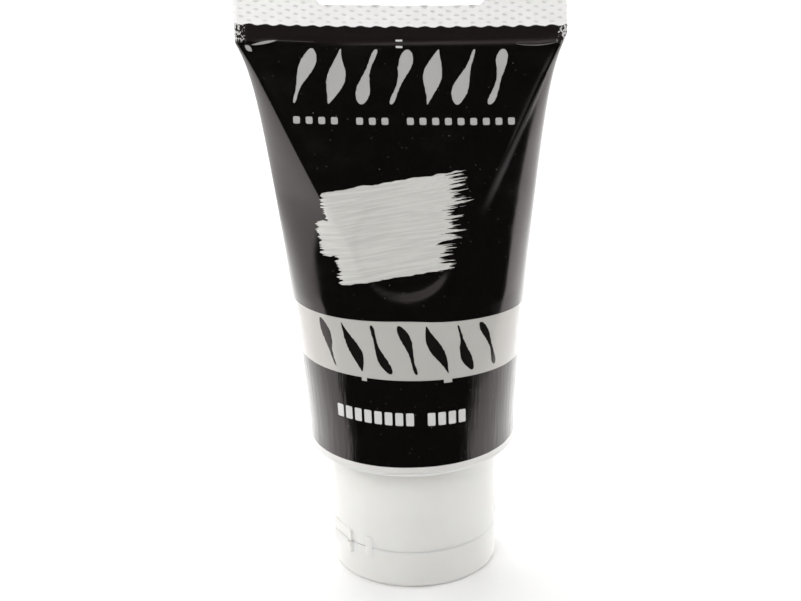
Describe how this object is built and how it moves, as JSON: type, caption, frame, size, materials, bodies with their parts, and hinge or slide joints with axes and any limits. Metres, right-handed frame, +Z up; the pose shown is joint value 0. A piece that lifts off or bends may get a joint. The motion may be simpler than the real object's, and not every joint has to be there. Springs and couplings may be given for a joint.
{
  "type": "paint tube",
  "caption": "Squeezable paint tube standing on its screw-on flip-top cap, with a flat crimped fin and a hanging slot.",
  "frame": {"origin": "centre of the lid's flat face, on the surface the tube stands on", "axes": "+Z up the tube to its fin, +Y to the back, -Y is the printed front"},
  "size_m": [0.061, 0.04, 0.1265],
  "materials": {
    "sleeve_laminate": "glossy black printed plastic laminate with an unprinted white fin",
    "head_plastic": "natural white polyethylene",
    "seal_foil": "thin rolled foil",
    "washer_foam": "soft foamed liner",
    "paint": "thick white paste",
    "cap_plastic": "satin white polypropylene"
  },
  "bodies": {
    "cap": {"cap_base": "cap_plastic", "hinge_film": "cap_plastic", "hinge_bands": "cap_plastic"},
    "lid": {"cap_lid": "cap_plastic"},
    "washer": {"neck_washer": "washer_foam"},
    "tube": {"tube_sleeve": "sleeve_laminate", "tube_head": "head_plastic", "foil_seal": "seal_foil", "paint_fill": "paint"}
  },
  "joints": [
    {"name": "lid_flip", "type": "hinge", "parent": "cap", "child": "lid", "pos_m": [-0.01448, -0.0077, 0.00768], "axis": [-0.4695, 0.8829, 0], "range_deg": [0, 175], "deforming": ["hinge_bands"]},
    {"name": "tube_turn", "type": "hinge", "parent": "cap", "child": "washer", "pos_m": [0, 0, 0.0105], "axis": [0, 0, 1], "range_deg": [0, 900]},
    {"name": "tube_lift", "type": "slide", "parent": "washer", "child": "tube", "axis": [0, 0, 1], "range_m": [0, 0.00751]}
  ],
  "couplings": [
    {"joint": "tube_lift", "follows": "tube_turn", "m_per_rad": 0.00047746}
  ]
}
